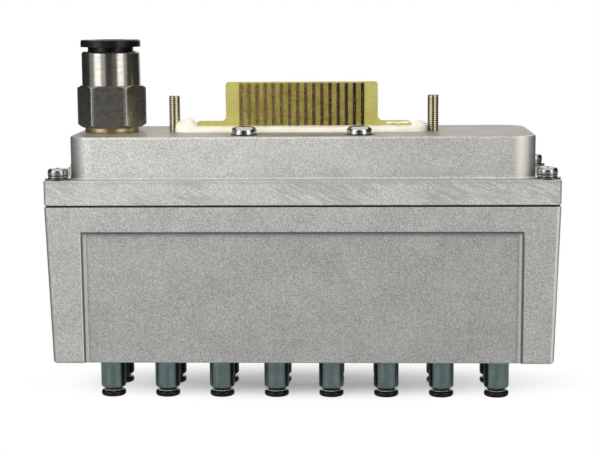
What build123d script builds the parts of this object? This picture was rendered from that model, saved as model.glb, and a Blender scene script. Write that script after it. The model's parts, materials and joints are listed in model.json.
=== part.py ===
from build123d import *

import os
from math import atan2, cos, degrees, radians, sin

# A sixteen-outlet solenoid valve block, in millimetres, +Z up, seen from the front along +Y.
# The origin is under the middle of the block, level with the release collars that it stands on.

# Outlet grid: two rows of push-in outlets under the block, spread evenly over its base
outlet_columns = 8
outlet_rows = 2
outlet_end_margin = 9.0
outlet_side_margin = 7.0
outlet_tube_radius = 2.0
outlet_tube_clearance = 0.1

# Outlet release collars, each one ring with a stem that slides in its sleeve
collar_rim_radius = 3.85
collar_rim_height = 1.5
collar_rim_edge = 0.7
collar_shoulder_height = 2.0
collar_stem_radius = 2.75
collar_stem_length = 5.6
collar_running_gap = 0.08
collar_standoff = 0.6

# Outlet sleeves, pressed up into the floor of the housing
sleeve_radius = 3.9
sleeve_visible_length = 10.6
sleeve_nose_edge = 1.0
press_seat_gap = 0.02

# Lower housing: a die-cast tub, drafted towards its base, with a recessed panel front and rear
housing_length = 156.0
housing_depth = 50.0
housing_height = 48.5
housing_draft = 1.4
housing_corner_radius = 1.5
housing_base_edge = 1.0
seam_edge = 0.25
floor_thickness = 8.0
cavity_end_wall = 4.0
cavity_side_wall = 5.0
corner_post_length = 5.5
corner_post_depth = 5.0
cavity_corner_radius = 2.0
panel_end_margin = 11.0
panel_top_band = 7.7
panel_depth = 1.3
panel_wall_slope = 0.4
panel_corner_radius = 1.2
panel_floor_radius = 0.9
panel_base_edge = 0.5

# Gasket in the seam, set back from the outer faces
gasket_thickness = 0.6
gasket_setback = 0.4

# Cover: a flange with a raised, rounded block on it, hollow underneath
flange_thickness = 7.6
flange_edge_radius = 0.6
block_end_setback = 7.0
block_side_setback = 2.5
block_height = 12.9
block_corner_radius = 8.0
block_edge_radius = 0.8
block_foot_radius = 0.6
cover_side_wall = 3.5
cover_top_wall = 3.5
cover_boss_depth = 6.0

# Corner screws through the cover into the corner posts, each with a spring and a flat washer
corner_screw_inset = 4.0
corner_screw_radius = 1.75
corner_screw_grip = 10.5
corner_head_radius = 3.1
corner_head_height = 2.1
corner_head_edge = 1.1
screw_hole_gap = 0.15
thread_gap = 0.02
flat_washer_radius = 3.95
flat_washer_thickness = 0.5
spring_washer_radius = 3.0
spring_washer_thickness = 0.8
spring_washer_split = 0.5
recess_slot_width = 0.8
recess_slot_length = 3.0
recess_slot_depth = 1.1

# Two dome-headed screws near the front edge of the block, into hexagonal standoffs
dome_screw_spacing = 35.2
dome_edge_margin = 7.5
dome_screw_radius = 2.0
dome_rim_radius = 4.25
dome_rim_height = 0.4
dome_head_radius = 3.95
dome_head_height = 2.6
dome_head_edge = 1.7
dome_thread_length = 8.0
dome_hole_spare = 2.0
standoff_width = 7.0

# Two threaded studs beside the board
stud_spacing = 81.1
stud_radius = 1.75
stud_core_radius = 1.45
stud_height = 11.2
stud_tip_chamfer = 0.35
stud_boss_radius = 4.4

# Inlet push-in fitting for 10 mm tube, screwed into the block over the left end column of outlets
inlet_tube_radius = 5.0
inlet_tube_clearance = 0.1
inlet_thread_radius = 6.58
inlet_thread_length = 8.0
inlet_boss_wall = 2.0
inlet_washer_radius = 8.5
inlet_washer_height = 1.6
inlet_washer_edge = 0.3
inlet_hex_width = 18.8
inlet_hex_height = 13.1
inlet_hex_chamfer = 0.9
inlet_hex_edge = 0.3
inlet_hex_turn = 3.2
inlet_sleeve_radius = 9.1
inlet_sleeve_height = 10.5
inlet_sleeve_edge = 0.5
inlet_passage_radius = 4.0
inlet_socket_depth = 22.0
inlet_cup_radius = 7.2
inlet_cup_depth = 15.0
inlet_ring_radius = 9.35
inlet_ring_height = 2.2
inlet_ring_edge = 0.4
inlet_ring_standoff = 1.4
inlet_stem_length = 7.0
inlet_running_gap = 0.08
inlet_seal_height = 2.6
inlet_collet_height = 3.6

# Edge-connector board, with gold-plated fingers on both faces
board_thickness = 1.6
board_stud_gap = 6.65
board_base_rise = 3.2
board_tab_width = 47.7
board_tab_height = 12.2
board_tab_shift = 0.5
board_tab_corner = 1.0
board_foot_corner = 1.5
board_slot_gap = 0.4
finger_count = 16
finger_pitch = 2.54
finger_width = 1.0
finger_thickness = 0.1
finger_top_margin = 0.4

# Silicone bead that seals the board's slot in the block
bead_width = 12.0
bead_height = 1.7
bead_corner_radius = 4.0
bead_edge_radius = 0.8
bead_stud_gap = 1.2
bead_heap_length = 6.0
bead_heap_width = 8.0
bead_heap_height = 3.5
bead_heap_corner = 2.5

# Miniature valves on the floor, one over each outlet, and the board that joins their coils
valve_column_gap = 2.75
valve_row_gap = 3.5
valve_body_height = 10.0
coil_edge = 2.0
coil_setback = 0.25
yoke_thickness = 1.2
yoke_setback = 3.0
pin_size = 0.8
pin_edge_margin = 1.5
pin_spread = 5.0
pin_gap = 1.5
terminal_board_drop = 6.7
terminal_board_end_gap = 7.0
terminal_board_side_gap = 1.0
tube_seal_height = 2.0
tube_seal_rise = 2.0

# Heights that follow from the sizes above
sleeve_mouth_z = collar_shoulder_height + collar_standoff
housing_base_z = sleeve_mouth_z + sleeve_visible_length
floor_z = housing_base_z + floor_thickness
housing_rim_z = housing_base_z + housing_height
flange_base_z = housing_rim_z + gasket_thickness
flange_top_z = flange_base_z + flange_thickness
block_top_z = flange_top_z + block_height
cover_ceiling_z = block_top_z - cover_top_wall
terminal_board_z = housing_rim_z - terminal_board_drop
terminal_board_top_z = terminal_board_z + board_thickness
coil_base_z = floor_z + valve_body_height
coil_height = terminal_board_z - pin_gap - yoke_thickness - coil_base_z
coil_top_z = coil_base_z + coil_height
yoke_top_z = coil_top_z + yoke_thickness
board_shoulder_z = block_top_z + board_base_rise
board_top_z = board_shoulder_z + board_tab_height
inlet_hex_z = block_top_z + inlet_washer_height
inlet_sleeve_z = inlet_hex_z + inlet_hex_height
inlet_mouth_z = inlet_sleeve_z + inlet_sleeve_height
inlet_cup_z = inlet_mouth_z - inlet_cup_depth
inlet_socket_z = inlet_mouth_z - inlet_socket_depth

# Lengths and widths that follow from the sizes above
outlet_pitch = (housing_length - 2 * outlet_end_margin) / outlet_columns
outlet_row_gap = (housing_depth - 2 * outlet_side_margin) / outlet_rows
panel_width = housing_length - 2 * panel_end_margin
cavity_length = housing_length - 2 * cavity_end_wall
cavity_depth = housing_depth - 2 * cavity_side_wall
block_length = housing_length - 2 * block_end_setback
block_depth = housing_depth - 2 * block_side_setback
hollow_length = block_length - 2 * cover_side_wall
hollow_depth = block_depth - 2 * cover_side_wall
valve_width = outlet_pitch - valve_column_gap
valve_depth = outlet_row_gap - valve_row_gap
coil_width = valve_width - 2 * yoke_thickness
coil_depth = valve_depth - 2 * coil_setback
yoke_depth = coil_depth - 2 * yoke_setback
terminal_board_length = cavity_length - 2 * terminal_board_end_gap
terminal_board_depth = cavity_depth - 2 * terminal_board_side_gap
inlet_offset = (outlet_columns - 1) / 2 * outlet_pitch
dome_screw_offset = block_depth / 2 - dome_edge_margin
board_base_width = stud_spacing - 2 * board_stud_gap
collar_face_radius = collar_rim_radius - collar_rim_edge
pin_offset = coil_depth / 2 - pin_edge_margin

# Places that follow from the sizes above
outlet_places = [
    ((column - (outlet_columns - 1) / 2) * outlet_pitch, (row - (outlet_rows - 1) / 2) * outlet_row_gap)
    for row in range(outlet_rows)
    for column in range(outlet_columns)
]
corner_places = [
    (side * (housing_length / 2 - corner_screw_inset), end * (housing_depth / 2 - corner_screw_inset))
    for end in (-1, 1)
    for side in (-1, 1)
]
dome_places = [(side * dome_screw_spacing / 2, -dome_screw_offset) for side in (-1, 1)]
stud_places = [(side * stud_spacing / 2, 0) for side in (-1, 1)]


def cylinder(radius, low, high, place=(0, 0)):
    """A solid cylinder between two heights."""
    disc = Plane.XY.offset(low) * Pos(*place) * Circle(radius)
    return extrude(disc, amount=high - low)


def ring(outer, inner, low, high, place=(0, 0)):
    """A plain ring of rectangular section between two heights."""
    disc = Plane.XY.offset(low) * Pos(*place) * (Circle(outer) - Circle(inner))
    return extrude(disc, amount=high - low)


def slab(sketch, low, high):
    """A plan sketch raised between two heights."""
    return extrude(Plane.XY.offset(low) * sketch, amount=high - low)


def turned(points):
    """A part turned about the Z axis from (radius, height) points."""
    outline = make_face(Polyline([(r, 0, z) for r, z in points], close=True))
    return revolve(outline, Axis.Z)


def edges_at(piece, height):
    """The edges of a turned piece that lie at one height."""
    level = [edge for edge in piece.edges() if edge.bounding_box().size.Z < 1e-3]
    return [edge for edge in level if abs(edge.center().Z - height) < 1e-3]


def cross_recess(top):
    """The cross-shaped driver recess of one screw, under a given height."""
    bar = Box(recess_slot_length, recess_slot_width, recess_slot_depth)
    recess = bar + Rot(0, 0, 90) * bar
    return Pos(0, 0, top - recess_slot_depth / 2) * recess


def repeated(piece, places):
    """Copies of one piece, as separate solids of one node."""
    return Compound(children=[Pos(x, y, 0) * piece for x, y in places])


def outlet_sleeve():
    """One outlet sleeve, rounded off at its mouth, open right through for the tube."""
    bore = collar_stem_radius + collar_running_gap
    sleeve = cylinder(sleeve_radius, sleeve_mouth_z, floor_z)
    sleeve = fillet(edges_at(sleeve, sleeve_mouth_z), sleeve_nose_edge)
    return sleeve - cylinder(bore, sleeve_mouth_z, floor_z)


def release_collar():
    """One outlet release collar: a rounded rim to press on, a sloped shoulder and a stem."""
    bore = outlet_tube_radius + outlet_tube_clearance
    stem_top = collar_shoulder_height + collar_stem_length
    collar = turned([
        (0, 0),
        (collar_rim_radius, 0),
        (collar_rim_radius, collar_rim_height),
        (collar_stem_radius, collar_shoulder_height),
        (collar_stem_radius, stem_top),
        (0, stem_top),
    ])
    collar = fillet(edges_at(collar, 0) + edges_at(collar, collar_rim_height), collar_rim_edge)
    return collar - cylinder(bore, 0, stem_top)


def outlet_seal():
    """The rubber ring that grips the tube inside one sleeve."""
    low = collar_shoulder_height + collar_stem_length + tube_seal_rise
    outer = collar_stem_radius + collar_running_gap
    return ring(outer, outlet_tube_radius, low, low + tube_seal_height)


def cavity_plan():
    """The tub's inner outline, notched at its corners by the screw posts."""
    plan = Rectangle(cavity_length, cavity_depth - 2 * corner_post_depth)
    plan += Rectangle(cavity_length - 2 * corner_post_length, cavity_depth)
    return fillet(plan.vertices(), cavity_corner_radius)


def valve_housing():
    """The tub: drafted walls, a recessed panel front and rear, and a floor bored for the sleeves."""
    base = RectangleRounded(
        housing_length - 2 * housing_draft, housing_depth - 2 * housing_draft, housing_corner_radius
    )
    rim = RectangleRounded(housing_length, housing_depth, housing_corner_radius)
    tub = loft([Plane.XY.offset(housing_base_z) * base, Plane.XY.offset(housing_rim_z) * rim])
    tub = fillet(tub.faces().sort_by(Axis.Z)[0].edges(), housing_base_edge)
    tub = fillet(tub.faces().sort_by(Axis.Z)[-1].edges(), seam_edge)

    lean = degrees(atan2(housing_draft, housing_height))
    panel_height = 2 * (housing_height - panel_top_band)
    panel = RectangleRounded(panel_width, panel_height, panel_corner_radius)
    slope = degrees(atan2(panel_wall_slope, panel_depth))
    recess = extrude(panel, amount=panel_depth, taper=slope)
    recess = fillet(recess.faces().sort_by(Axis.Z)[-1].edges(), panel_floor_radius)
    drop = panel_top_band / cos(radians(lean)) + panel_height / 2
    front = Pos(0, -housing_depth / 2, housing_rim_z) * Rot(lean - 90, 0, 0) * Pos(0, drop, 0) * recess
    tub -= front
    tub -= front.mirror(Plane.XZ)
    lower_edges = [edge for edge in edges_at(tub, housing_base_z) if abs(edge.center().X) < 1e-3]
    tub = fillet(lower_edges, panel_base_edge)

    tub -= slab(cavity_plan(), floor_z, housing_rim_z)
    for place in outlet_places:
        tub -= cylinder(sleeve_radius + press_seat_gap, housing_base_z, floor_z, place)
    thread_low = flange_base_z - corner_screw_grip - gasket_thickness
    for place in corner_places:
        tub -= cylinder(corner_screw_radius + thread_gap, thread_low, housing_rim_z, place)
    return tub


def seam_gasket():
    """The flat gasket between the tub and the cover, set back so that the seam shows dark."""
    outer = RectangleRounded(
        housing_length - 2 * gasket_setback, housing_depth - 2 * gasket_setback, housing_corner_radius
    )
    gasket = slab(outer - cavity_plan(), housing_rim_z, flange_base_z)
    for place in corner_places:
        gasket -= cylinder(corner_screw_radius + screw_hole_gap, housing_rim_z, flange_base_z, place)
    return gasket


def foot_edges(cover):
    """The inner corner where the raised block meets the flange, all round."""
    level = edges_at(cover, flange_top_z)
    inside = [edge for edge in level if abs(edge.center().X) < (block_length + block_end_setback) / 2]
    return [edge for edge in inside if abs(edge.center().Y) < (block_depth + block_side_setback) / 2]


def top_cover():
    """The cover casting: flange and raised block in one, with its holes, slot and inner bosses."""
    flange = slab(
        RectangleRounded(housing_length, housing_depth, housing_corner_radius), flange_base_z, flange_top_z
    )
    flange = fillet(flange.faces().sort_by(Axis.Z)[-1].edges(), flange_edge_radius)
    flange = fillet(flange.faces().sort_by(Axis.Z)[0].edges(), seam_edge)
    block = slab(
        RectangleRounded(block_length, block_depth, block_corner_radius), flange_base_z, block_top_z
    )
    block = fillet(block.faces().sort_by(Axis.Z)[-1].edges(), block_edge_radius)
    cover = flange + block
    cover = fillet(foot_edges(cover), block_foot_radius)

    hollow = slab(
        RectangleRounded(hollow_length, hollow_depth, cavity_corner_radius), flange_base_z, cover_ceiling_z
    )
    boss_low = cover_ceiling_z - cover_boss_depth
    for place in stud_places:
        hollow -= cylinder(stud_boss_radius, boss_low, cover_ceiling_z, place)
    inlet_boss_radius = inlet_washer_radius + inlet_boss_wall
    hollow -= cylinder(inlet_boss_radius, boss_low, cover_ceiling_z, (-inlet_offset, 0))
    cover -= hollow

    cover -= cylinder(inlet_thread_radius + thread_gap, flange_base_z, block_top_z, (-inlet_offset, 0))
    for place in stud_places:
        cover -= cylinder(stud_core_radius + thread_gap, boss_low, block_top_z, place)
    for place in dome_places:
        cover -= cylinder(dome_screw_radius + screw_hole_gap, cover_ceiling_z, block_top_z, place)
    for place in corner_places:
        cover -= cylinder(corner_screw_radius + screw_hole_gap, flange_base_z, flange_top_z, place)
    slot = Rectangle(board_base_width + 2 * board_slot_gap, board_thickness + 2 * board_slot_gap)
    cover -= slab(slot, cover_ceiling_z, block_top_z)
    return cover


def corner_screws():
    """Four pan-headed screws that clamp the cover down."""
    head_low = flange_top_z + flat_washer_thickness + spring_washer_thickness
    head_top = head_low + corner_head_height
    low = flange_base_z - corner_screw_grip
    screw = turned([
        (0, low),
        (corner_screw_radius, low),
        (corner_screw_radius, head_low),
        (corner_head_radius, head_low),
        (corner_head_radius, head_top),
        (0, head_top),
    ])
    screw = fillet(edges_at(screw, head_top), corner_head_edge)
    return repeated(screw - cross_recess(head_top), corner_places)


def spring_washers():
    """Four split spring washers under the corner screws' heads."""
    low = flange_top_z + flat_washer_thickness
    washer = ring(
        spring_washer_radius, corner_screw_radius + screw_hole_gap, low, low + spring_washer_thickness
    )
    gap = Box(spring_washer_radius, spring_washer_split, 2 * spring_washer_thickness)
    washer -= Pos(spring_washer_radius, 0, low + spring_washer_thickness / 2) * gap
    return repeated(washer, corner_places)


def flat_washers():
    """Four flat washers on the flange."""
    bore = corner_screw_radius + screw_hole_gap
    washer = ring(flat_washer_radius, bore, flange_top_z, flange_top_z + flat_washer_thickness)
    return repeated(washer, corner_places)


def dome_screws():
    """Two round-shouldered screws that hold the standoffs up against the cover."""
    low = cover_ceiling_z - dome_thread_length
    rim_z = block_top_z + dome_rim_height
    head_top = block_top_z + dome_head_height
    screw = turned([
        (0, low),
        (dome_screw_radius, low),
        (dome_screw_radius, block_top_z),
        (dome_rim_radius, block_top_z),
        (dome_rim_radius, rim_z),
        (dome_head_radius, rim_z),
        (dome_head_radius, head_top),
        (0, head_top),
    ])
    screw = fillet(edges_at(screw, head_top), dome_head_edge)
    return repeated(screw - cross_recess(head_top), dome_places)


def board_standoffs():
    """Two hexagonal standoffs between the cover and the terminal board."""
    bar = slab(
        RegularPolygon(standoff_width / 2, 6, major_radius=False), terminal_board_top_z, cover_ceiling_z
    )
    hole_low = cover_ceiling_z - dome_thread_length - dome_hole_spare
    bar -= cylinder(dome_screw_radius + thread_gap, hole_low, cover_ceiling_z)
    return repeated(bar, dome_places)


def threaded_studs():
    """Two studs for a connector's bracket, at their core radius where they are tapped into the block."""
    low = cover_ceiling_z - cover_boss_depth
    top = block_top_z + stud_height
    stud = turned([
        (0, low),
        (stud_core_radius, low),
        (stud_core_radius, block_top_z),
        (stud_radius, block_top_z),
        (stud_radius, top - stud_tip_chamfer),
        (stud_radius - stud_tip_chamfer, top),
        (0, top),
    ])
    return repeated(stud, stud_places)


def inlet_body():
    """The inlet fitting's body: threaded spigot, hexagon and sleeve, bored through."""
    corner_radius = inlet_hex_width / 2 / cos(radians(30))
    flat_radius = inlet_hex_width / 2
    hexagon = RegularPolygon(flat_radius, 6, major_radius=False, rotation=inlet_hex_turn)
    nut = slab(fillet(hexagon.vertices(), inlet_hex_edge), inlet_hex_z, inlet_sleeve_z)
    nut &= turned([
        (0, inlet_hex_z),
        (flat_radius, inlet_hex_z),
        (corner_radius, inlet_hex_z + inlet_hex_chamfer),
        (corner_radius, inlet_sleeve_z - inlet_hex_chamfer),
        (flat_radius, inlet_sleeve_z),
        (0, inlet_sleeve_z),
    ])
    body = nut + turned([
        (0, block_top_z - inlet_thread_length),
        (inlet_thread_radius, block_top_z - inlet_thread_length),
        (inlet_thread_radius, inlet_hex_z),
        (inlet_thread_radius, inlet_sleeve_z),
        (inlet_sleeve_radius, inlet_sleeve_z),
        (inlet_sleeve_radius, inlet_mouth_z - inlet_sleeve_edge),
        (inlet_sleeve_radius - inlet_sleeve_edge, inlet_mouth_z),
        (0, inlet_mouth_z),
    ])
    body -= cylinder(inlet_passage_radius, block_top_z - inlet_thread_length, inlet_socket_z)
    body -= cylinder(inlet_tube_radius + inlet_tube_clearance, inlet_socket_z, inlet_cup_z)
    body -= cylinder(inlet_cup_radius, inlet_cup_z, inlet_mouth_z)
    return Pos(-inlet_offset, 0, 0) * body


def inlet_washer():
    """The sealing ring under the inlet's hexagon."""
    washer = cylinder(inlet_washer_radius, block_top_z, inlet_hex_z)
    washer = fillet(washer.edges().filter_by(GeomType.CIRCLE), inlet_washer_edge)
    washer -= cylinder(inlet_thread_radius + screw_hole_gap, block_top_z, inlet_hex_z)
    return Pos(-inlet_offset, 0, 0) * washer


def inlet_seal():
    """The rubber ring that seals the inlet tube."""
    top = inlet_cup_z + inlet_seal_height
    return ring(inlet_cup_radius, inlet_tube_radius, inlet_cup_z, top, (-inlet_offset, 0))


def inlet_collet():
    """The toothed ring that grips the inlet tube."""
    low = inlet_cup_z + inlet_seal_height
    inner = inlet_tube_radius + inlet_tube_clearance
    return ring(inlet_cup_radius, inner, low, low + inlet_collet_height, (-inlet_offset, 0))


def inlet_release_ring():
    """The inlet's release ring: a rim to press on and a stem inside the sleeve."""
    bore = inlet_tube_radius + inlet_tube_clearance
    stem = inlet_cup_radius - inlet_running_gap
    rim_z = inlet_mouth_z + inlet_ring_standoff
    top_z = rim_z + inlet_ring_height
    ring_part = turned([
        (bore, inlet_mouth_z - inlet_stem_length),
        (stem, inlet_mouth_z - inlet_stem_length),
        (stem, rim_z),
        (inlet_ring_radius, rim_z),
        (inlet_ring_radius, top_z - inlet_ring_edge),
        (inlet_ring_radius - inlet_ring_edge, top_z),
        (bore, top_z),
    ])
    return Pos(-inlet_offset, 0, 0) * ring_part


def edge_board():
    """The upright board: a wide foot through the block's slot and a narrower tab above it."""
    foot_height = board_shoulder_z - terminal_board_top_z
    foot = Pos(0, terminal_board_top_z + foot_height / 2) * Rectangle(board_base_width, foot_height)
    tab_centre = (board_shoulder_z + board_top_z) / 2
    tab = Pos(-board_tab_shift, tab_centre) * Rectangle(board_tab_width, board_tab_height)
    outline = foot + tab
    tips = outline.vertices().group_by(Axis.Y)[-1]
    outline = fillet(tips, board_tab_corner)
    shoulders = [v for v in outline.vertices() if abs(v.Y - board_shoulder_z) < board_tab_corner / 2]
    outline = fillet(shoulders, board_foot_corner)
    return extrude(Plane.XZ * outline, amount=board_thickness / 2, both=True)


def contact_fingers():
    """The plated fingers, one row on each face of the tab."""
    low = block_top_z + bead_height
    height = board_top_z - finger_top_margin - low
    finger = Box(finger_width, finger_thickness, height)
    fingers = []
    for face in (-1, 1):
        y = face * (board_thickness + finger_thickness) / 2
        for index in range(finger_count):
            x = (index - (finger_count - 1) / 2) * finger_pitch - board_tab_shift
            fingers.append(Pos(x, y, low + height / 2) * finger)
    return Compound(children=fingers)


def silicone_bead():
    """The cured bead around the board's foot, from stud to stud, heaped up at its ends."""
    length = stud_spacing - 2 * stud_radius - 2 * bead_stud_gap
    bead = slab(
        RectangleRounded(length, bead_width, bead_corner_radius), block_top_z, block_top_z + bead_height
    )
    bead = fillet(bead.faces().sort_by(Axis.Z)[-1].edges(), bead_edge_radius)
    heap_top = block_top_z + bead_heap_height
    heap = slab(RectangleRounded(bead_heap_length, bead_heap_width, bead_heap_corner), block_top_z, heap_top)
    heap = fillet(heap.faces().sort_by(Axis.Z)[-1].edges(), bead_edge_radius)
    for side in (-1, 1):
        bead += Pos(side * (length - bead_heap_length) / 2, 0, 0) * heap
    slot = Rectangle(board_base_width, board_thickness)
    return bead - slab(slot, block_top_z, heap_top)


def valve_bodies():
    """Sixteen moulded valve bodies, one on the floor over each outlet."""
    body = slab(Rectangle(valve_width, valve_depth), floor_z, coil_base_z)
    return repeated(body, outlet_places)


def valve_coils():
    """Sixteen encapsulated coils."""
    plan = fillet(Rectangle(coil_width, coil_depth).vertices(), coil_edge)
    return repeated(slab(plan, coil_base_z, coil_top_z), outlet_places)


def coil_yokes():
    """Sixteen bent steel yokes over the coils."""
    outer = Rectangle(coil_width + 2 * yoke_thickness, yoke_depth)
    yoke = slab(outer, coil_base_z, yoke_top_z)
    yoke -= slab(Rectangle(coil_width, yoke_depth), coil_base_z, coil_top_z)
    return repeated(yoke, outlet_places)


def coil_pins():
    """Two terminal pins from each coil up to the terminal board."""
    pin = slab(Rectangle(pin_size, pin_size), coil_top_z, terminal_board_z)
    places = [(x + side * pin_spread / 2, y + pin_offset) for x, y in outlet_places for side in (-1, 1)]
    return repeated(pin, places)


def terminal_board():
    """The flat board over the coils, which the edge board stands on."""
    plan = Rectangle(terminal_board_length, terminal_board_depth)
    return slab(plan, terminal_board_z, terminal_board_top_z)


nodes = {
    "valve_housing": valve_housing(),
    "seam_gasket": seam_gasket(),
    "top_cover": top_cover(),
    "corner_screws": corner_screws(),
    "spring_washers": spring_washers(),
    "flat_washers": flat_washers(),
    "dome_screws": dome_screws(),
    "board_standoffs": board_standoffs(),
    "threaded_studs": threaded_studs(),
    "inlet_body": inlet_body(),
    "inlet_washer": inlet_washer(),
    "inlet_seal": inlet_seal(),
    "inlet_collet": inlet_collet(),
    "inlet_release_ring": inlet_release_ring(),
    "edge_board": edge_board(),
    "contact_fingers": contact_fingers(),
    "silicone_bead": silicone_bead(),
    "valve_bodies": valve_bodies(),
    "valve_coils": valve_coils(),
    "coil_yokes": coil_yokes(),
    "coil_pins": coil_pins(),
    "terminal_board": terminal_board(),
}
for number, (x, y) in enumerate(outlet_places, start=1):
    nodes[f"outlet_sleeve_{number:02d}"] = Pos(x, y, 0) * outlet_sleeve()
    nodes[f"release_collar_{number:02d}"] = Pos(x, y, 0) * release_collar()

nodes["outlet_seals"] = repeated(outlet_seal(), outlet_places)

os.makedirs("parts", exist_ok=True)
for name, shape in nodes.items():
    export_step(shape, f"parts/{name}.step")
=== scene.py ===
import json
from math import cos, hypot, pi, radians, sin

import bpy
import bmesh
from mathutils import Matrix, Vector, noise


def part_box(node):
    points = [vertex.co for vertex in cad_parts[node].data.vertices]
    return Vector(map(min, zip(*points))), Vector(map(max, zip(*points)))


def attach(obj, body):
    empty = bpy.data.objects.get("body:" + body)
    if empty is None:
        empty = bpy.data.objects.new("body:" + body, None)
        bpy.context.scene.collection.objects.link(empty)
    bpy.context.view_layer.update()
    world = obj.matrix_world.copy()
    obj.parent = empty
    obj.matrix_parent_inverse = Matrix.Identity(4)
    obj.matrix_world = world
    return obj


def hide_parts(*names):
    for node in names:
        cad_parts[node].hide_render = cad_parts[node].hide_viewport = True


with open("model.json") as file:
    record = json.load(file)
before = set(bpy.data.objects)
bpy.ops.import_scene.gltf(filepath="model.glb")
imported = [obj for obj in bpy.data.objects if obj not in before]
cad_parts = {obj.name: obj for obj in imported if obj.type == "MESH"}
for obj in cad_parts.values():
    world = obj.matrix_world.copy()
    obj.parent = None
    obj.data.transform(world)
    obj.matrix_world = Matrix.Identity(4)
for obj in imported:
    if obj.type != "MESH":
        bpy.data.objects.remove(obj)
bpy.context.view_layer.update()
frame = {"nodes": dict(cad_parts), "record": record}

# A solenoid valve block on a pale floor, seen nearly square to its long front side.
# Lengths are in metres and the block's own frame: +X along it, -Y to the viewer, +Z up.
# Colours are linear red, green and blue.
MM = 0.001

# Camera, in the photograph's 600 by 450 frame
CAMERA_PLACE = (18.43 * MM, -489.5 * MM, 121.2 * MM)
CAMERA_PITCH = radians(7.94)
CAMERA_YAW = radians(-2.31)
CAMERA_ROLL = radians(-0.397)
FOCAL_PIXELS = 1560
FRAME_PIXELS = 600
SENSOR_WIDTH = 36
NEAREST_SEEN = 0.01
FARTHEST_SEEN = 20

# Studio: two tall soft lamps in front, one behind and one above, which light only matt surfaces,
# and cards round the block, which only show in gloss
AMBIENT = 0.36
LAMPS = [
    # name, azimuth, distance, height, width, tall, radiance
    ("lamp_left", -34, 0.58, 0.42, 0.36, 0.50, 7.5),
    ("lamp_right", 62, 0.80, 0.45, 0.32, 0.62, 0.6),
    ("lamp_back", 165, 0.80, 0.45, 0.42, 0.62, 4.2),
]
LAMPS_AIM = (0, 0, 60 * MM)
TOP_LAMP_HEIGHT = 1.1
TOP_LAMP_SIZE = 0.8
TOP_LAMP_RADIANCE = 0.6
CARDS = [
    # name, first and last azimuth, glow
    ("card_left", -158, -84, 0.03),
    ("glow_left_outer", -84, -62, 0.3),
    ("glow_left", -62, -36, 1.7),
    ("glow_left_inner", -36, -18, 0.5),
    ("card_front", -18, 8, 0.03),
    ("glow_right_inner", 8, 30, 0.12),
    ("glow_right", 30, 56, 1.6),
    ("glow_right_outer", 56, 72, 0.4),
    ("card_right", 72, 158, 0.03),
]
CARD_RADIUS = 0.78
CARD_TOP = 0.78
CARD_STEPS = 24
DISC_SIDES = 48
CEILING_SHADE = 0.8
TABLE_SHADE = 0.3
TABLE_HEIGHT = 0.2 * MM

# Floor: paper near the block, fading to plain white over an oval round it
FLOOR_SIZE = 3.0
FLOOR_PAPER = (0.88, 0.88, 0.87, 1)
FLOOR_WHITE_CENTRE = 0.010
FLOOR_WHITE_STRETCH = (0.3, 1.0, 1.0)
FLOOR_WHITE_FROM = 0.004
FLOOR_WHITE_TO = 0.031
FLOOR_LIFT = 0.21

# Castings: the flange, up from the cover's foot, and its edge down from there; the recessed
# panel's upper edge, down from the housing's top, and half its length
FLANGE_HEIGHT = 7.6 * MM
FLANGE_EDGE = 1.5 * MM
PANEL_BAND = 7.75 * MM
PANEL_HALF = 67.0 * MM

# Castings: their blasted skin
GRAIN = 0.2 * MM
DIMPLE = 0.24 * MM
MOTTLE = 9 * MM
SMUDGE = 16 * MM
SMUDGE_SHARE = 0.22
PIT_SPACING = 13 * MM
PIT_SHARE = 0.8
PIT_RELIEF = 1.5
BRUSH_STROKE = 1.2 * MM
SKIN_DEPTH = 0.09 * MM

# Castings: painted shade on the cover's raised block, growing towards its right end
BLOCK_FOOT = 1 * MM
RIGHT_SHADE_FROM = -35 * MM
RIGHT_SHADE_TO = 60 * MM
RIGHT_SHADE_SHARE = 0.16

# Castings: a painted highlight and painted shade on upright corners, by the X of the way that a face
# looks.
# Each band rises between its first two values and falls between its last two.
CORNER_HIGHLIGHT_BAND = (0.05, 0.4, 0.58, 0.8)
CORNER_HIGHLIGHT_SHARE = 0.92
CORNER_HIGHLIGHT_COLOUR = (0.98, 0.95, 0.86)
RIGHT_CORNER_SHADE_BAND = (0.74, 0.95, 0.975, 0.99)
RIGHT_CORNER_SHADE_SHARE = 0.5
LEFT_CORNER_SHADE_BAND = (-0.99, -0.975, -0.93, -0.12)
LEFT_CORNER_SHADE_SHARE = 0.8

# Flange: painted shade round its upper edge, and slanting tool marks
RIM_SHADE_SHARE = 0.3
MARK = 0.45 * MM
MARK_STRETCH = (0.08, 1, 1.0)
MARK_SLANT = (0, -24, 0)
MARK_PATCH = 22 * MM
MARK_SHARE = 0.65
MARK_DEPTH = 0.12 * MM

# Recessed panel: bands of painted shade and painted light beside its edges, with distances inward from
# them
PANEL_DIM = 0.12
SHADE_BAND = (0.1 * MM, 0.3 * MM, 0.8 * MM, 1.8 * MM)
SHADE_SHARE = 0.5
SHADE_TINT = (0.6, 0.66, 0.8)
PAINTED_LIGHT_BAND = (0.4 * MM, 0.8 * MM, 1.1 * MM, 1.6 * MM)
PAINTED_LIGHT_SHARE = 0.42
PAINTED_LIGHT_COLOUR = (0.95, 0.92, 0.85)
FOLD_SHADE_BAND = (1.4 * MM, 1.6 * MM, 1.8 * MM, 2.2 * MM)
FOLD_SHADE_SHARE = 0.35
LINE_BAND = (-0.1 * MM, 0.1 * MM, 0.25 * MM, 0.6 * MM)
LINE_SHARE = 0.45
LIP_BAND = (-0.35 * MM, -0.2 * MM, 0.3 * MM, 0.5 * MM)
LIP_SHARE = 0.75
GROOVE_SHADE_TINT = (0.2, 0.22, 0.27)

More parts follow.
